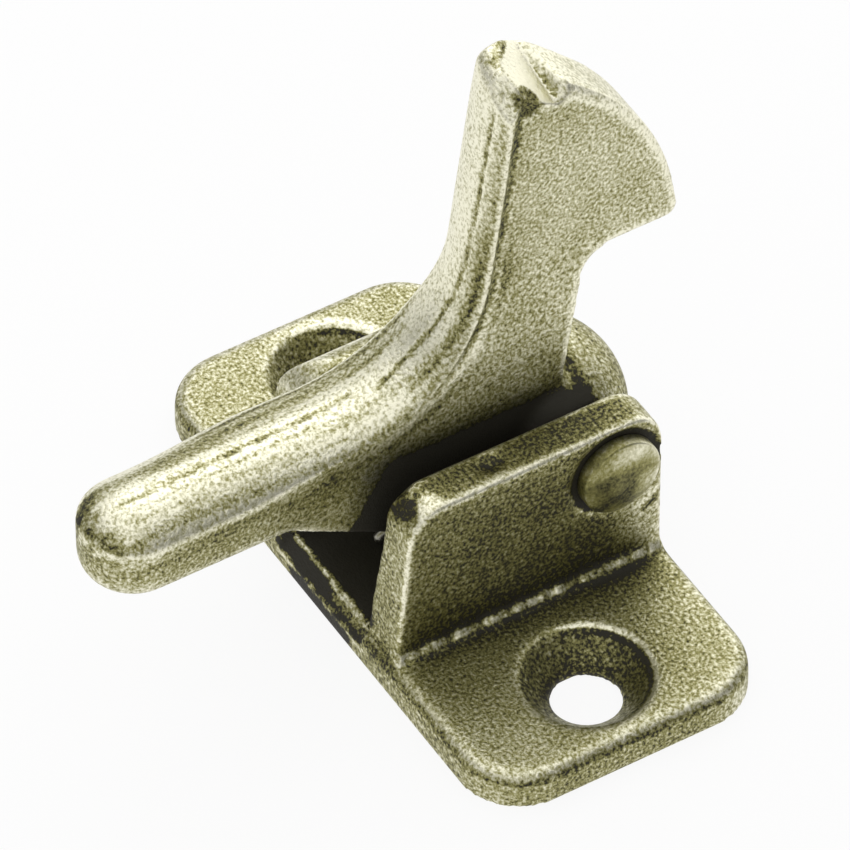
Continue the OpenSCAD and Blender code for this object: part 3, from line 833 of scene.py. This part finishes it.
# %% [markdown]
# ## Finishes
# One function turns a colour as it is written for a screen, in sRGB, into the linear values that a
# shader works in. Another adds a node with its settings and links, so that a material reads as a
# short list.

# %% Colours and nodes
def linear(code):
    parts = [int(code[i:i + 2], 16) / 255 for i in (1, 3, 5)]
    return [p / 12.92 if p <= 0.04045 else ((p + 0.055) / 1.055) ** 2.4 for p in parts] + [1]


def add(tree, kind, inputs=(), **settings):
    node = tree.nodes.new(kind)
    for key, value in settings.items():
        setattr(node, key, value)
    for key, value in dict(inputs).items():
        if isinstance(value, bpy.types.NodeSocket):
            tree.links.new(value, node.inputs[key])
        else:
            node.inputs[key].default_value = value
    return node


def new_material(name):
    material = bpy.data.materials.new(name)
    material.use_nodes = True
    return material, material.node_tree, material.node_tree.nodes["Principled BSDF"]


print("middle grey on a screen is", round(linear("#808080")[0], 3), "in linear light")

# %% [markdown]
# Brass plate over cast zinc, blackened and buffed. The sand-blasted grain of the casting shows
# through the thin plate: the tops of the grains are bare and pale, and black stays between them.
# The eye sees a dull greenish gold full of fine speckle, which turns to pale metal where it is
# rubbed. The black is a matt oxide and not a metal, so the metallic value falls with it, and its
# specular level is low. The real grain is about 0.1 mm, too fine for this picture, so it is drawn
# at 0.2 mm.

# %% Antique brass, from blackened plate to bare metal
GRAIN, CLOUD, CLOUDINESS = 0.2, 3.0, 0.35
BLACKENED, HALF_RUBBED, BARE_BRASS = "#34322a", "#98945f", "#f9f6de"
OXIDE_SHEEN, BLACK_ROUGHNESS, BARE_ROUGHNESS = 0.2, 0.6, 0.32


def antique_brass(name, speckle, grain_height):
    material, tree, shader = new_material(name)
    where = add(tree, "ShaderNodeTexCoord").outputs["Object"]
    grain = add(tree, "ShaderNodeTexNoise", {"Vector": where, "Scale": 1 / (GRAIN * MM),
                                             "Detail": 3, "Roughness": 0.6}).outputs[0]
    cloud = add(tree, "ShaderNodeTexNoise", {"Vector": where, "Scale": 1 / (CLOUD * MM),
                                             "Detail": 2}).outputs[0]
    # the stored value holds wear together with painted light and shade
    stored = add(tree, "ShaderNodeAttribute", attribute_name="wear_and_painted_light").outputs["Fac"]
    specks = add(tree, "ShaderNodeMath", {0: grain, 1: speckle, 2: -speckle / 2},
                 operation="MULTIPLY_ADD")
    clouds = add(tree, "ShaderNodeMath", {0: cloud, 1: CLOUDINESS, 2: -CLOUDINESS / 2},
                 operation="MULTIPLY_ADD")
    uneven = add(tree, "ShaderNodeMath", {0: specks.outputs[0], 1: clouds.outputs[0]})
    wear_and_painted_light = add(tree, "ShaderNodeMath", {0: stored, 1: uneven.outputs[0]}, use_clamp=True).outputs[0]
    colour = add(tree, "ShaderNodeValToRGB", {0: wear_and_painted_light})
    stops = colour.color_ramp.elements
    stops[0].position, stops[0].color, stops[1].color = 0.08, linear(BLACKENED), linear(BARE_BRASS)
    stops.new(0.45).color = linear(HALF_RUBBED)
    rough = add(tree, "ShaderNodeMapRange", {0: wear_and_painted_light, 3: BLACK_ROUGHNESS, 4: BARE_ROUGHNESS})
    metal = add(tree, "ShaderNodeMapRange", {0: wear_and_painted_light, 2: 0.12})
    bump = add(tree, "ShaderNodeBump", {"Height": grain, "Distance": grain_height * MM,
                                        "Strength": 0.7})
    for socket, value in (("Base Color", colour), ("Roughness", rough), ("Metallic", metal),
                          ("Normal", bump)):
        tree.links.new(value.outputs[0], shader.inputs[socket])
    shader.inputs["Specular IOR Level"].default_value = OXIDE_SHEEN
    print(name, "with", len(tree.nodes), "nodes")
    return material


cast_brass = antique_brass("antique_brass_on_cast_zinc", 1.9, 0.07)
turned_brass = antique_brass("antique_brass_on_turned_brass", 0.8, 0.025)

# %% [markdown]
# The spring is drawn steel wire. The die leaves it smooth and grey, with a soft gloss that varies a
# little along the length, where the drawing soap stuck. The real marks are hundredths of a
# millimetre wide, and are drawn at 0.3 mm so that they show.

# %% Drawn steel wire
DRAW_MARK, DULL_STEEL, BRIGHT_STEEL = 0.3, "#8f8d80", "#d2cfc0"
drawn_wire, tree, shader = new_material("drawn_spring_steel_wire")
where = add(tree, "ShaderNodeTexCoord").outputs["Object"]
marks = add(tree, "ShaderNodeTexNoise", {"Vector": where, "Scale": 1 / (DRAW_MARK * MM),
                                         "Detail": 2}).outputs[0]
gloss = add(tree, "ShaderNodeMapRange", {0: marks, 3: 0.22, 4: 0.5})
tint = add(tree, "ShaderNodeValToRGB", {0: marks})
tint.color_ramp.elements[0].color = linear(DULL_STEEL)
tint.color_ramp.elements[1].color = linear(BRIGHT_STEEL)
tree.links.new(gloss.outputs[0], shader.inputs["Roughness"])
tree.links.new(tint.outputs[0], shader.inputs["Base Color"])
shader.inputs["Metallic"].default_value = 1

for piece, finish in ((bracket, cast_brass), (lever, cast_brass), (rivet, turned_brass),
                      (spring, drawn_wire)):
    piece.data.materials.clear()
    piece.data.materials.append(finish)
    print(piece.name, "in", finish.name)

# %% [markdown]
# ## Floor
# The part lies on white paper. Paper lit by lamps comes out grey at its far end, so most of its
# brightness is given to the rays that the camera sends and to those that bounce off metal or pass
# through glass. The rest is real light, which keeps the part's soft shadow.

# %% White paper
PAPER_HALF, OWN_WHITE = 2, 0.9
floor_mesh = bpy.data.meshes.new("floor")
floor_mesh.from_pydata([(a * PAPER_HALF, b * PAPER_HALF, 0)
                        for a, b in ((-1, -1), (1, -1), (1, 1), (-1, 1))], [], [(0, 1, 2, 3)])
floor = bpy.data.objects.new("floor", floor_mesh)
scene.collection.objects.link(floor)
paper, tree, shader = new_material("matt_white_paper")
shader.inputs["Base Color"].default_value = linear("#f9f9f9")
shader.inputs["Roughness"].default_value = 0.9
ray = add(tree, "ShaderNodeLightPath").outputs
seen = add(tree, "ShaderNodeMath", {0: ray["Is Camera Ray"], 1: ray["Is Glossy Ray"]}).outputs[0]
seen = add(tree, "ShaderNodeMath", {0: seen, 1: ray["Is Transmission Ray"]}, use_clamp=True)
share = add(tree, "ShaderNodeMath", {0: seen.outputs[0], 1: OWN_WHITE}, operation="MULTIPLY")
white = add(tree, "ShaderNodeEmission", {"Strength": 1})
mixed = add(tree, "ShaderNodeMixShader", {0: share.outputs[0], 1: shader.outputs[0],
                                          2: white.outputs[0]})
tree.links.new(mixed.outputs[0], tree.nodes["Material Output"].inputs["Surface"])
floor_mesh.materials.append(paper)
print("paper of", floor.dimensions.x, "m")


# %% [markdown]
# ## Light
# Metal has no colour of its own to show in the dark: it shows what stands round it. So the light is
# a ring of soft boxes, each given by its direction and by how bright it looks. A brightness of 1
# shows the metal's colour as it is written. A large box overhead and a small one on the far side
# draw the bright line along the tail, and weaker ones fill the edges that face the camera.

# %% Soft boxes and a dim room
def softbox(name, toward, distance, size, brightness):
    lamp = bpy.data.objects.new(name, bpy.data.lights.new(name, "AREA"))
    lamp.data.shape, lamp.data.size, lamp.data.size_y = "RECTANGLE", size[0] * MM, size[1] * MM
    lamp.data.energy = brightness * math.pi * size[0] * size[1] * MM ** 2
    direction = Vector(toward).normalized()
    lamp.location = direction * distance * MM
    lamp.rotation_euler = direction.to_track_quat("Z", "Y").to_euler()
    scene.collection.objects.link(lamp)
    print(name, round(lamp.data.energy, 3), "W")


softbox("overhead", (-0.28, 0.06, 0.94), 300, (580, 560), 0.9)
softbox("far_side", (-0.55, 0.25, 0.78), 280, (150, 170), 0.9)
softbox("left", (-0.95, 0.05, 0.12), 350, (400, 240), 0.35)
softbox("back", (-0.45, 0.85, 0.3), 350, (400, 240), 1.0)
softbox("camera_side", (0.6, -0.36, 0.6), 700, (700, 500), 0.75)
softbox("front", (-0.1, -0.95, 0.3), 400, (400, 200), 0.6)
scene.world = bpy.data.worlds.new("dim_room")
scene.world.use_nodes = True
room = scene.world.node_tree.nodes["Background"].inputs
room["Color"].default_value, room["Strength"].default_value = (1, 1, 1, 1), 0.2

# %% [markdown]
# ## Finish
# The Standard view shows the colours as they are written.

# %% Finish
scene.view_settings.view_transform = "Standard"
